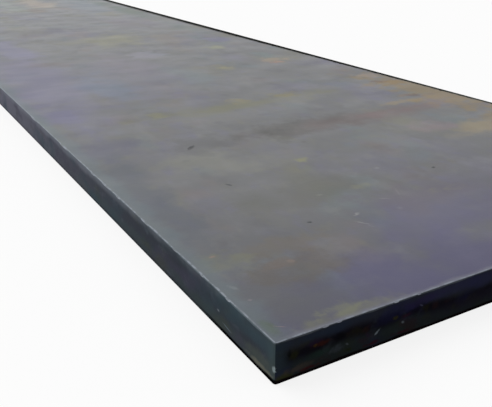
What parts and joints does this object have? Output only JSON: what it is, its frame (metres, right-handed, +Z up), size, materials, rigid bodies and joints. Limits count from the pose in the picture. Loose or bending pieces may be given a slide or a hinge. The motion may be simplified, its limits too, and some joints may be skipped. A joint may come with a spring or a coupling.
{
  "type": "steel plate",
  "caption": "Heavy flat steel plate, hot rolled with a dark mill-scale skin, its long edges and ends flame cut square with lightly melted arrises.",
  "frame": {"origin": "centre of the underside, the face that it lies on", "axes": "+X across the width, +Y along the length, away from the end that shows, +Z up through the thickness"},
  "size_m": [1.5, 6, 0.08],
  "materials": {
    "mill_scale": "satin"
  },
  "bodies": {
    "root": {"steel_plate": "mill_scale"}
  },
  "joints": []
}
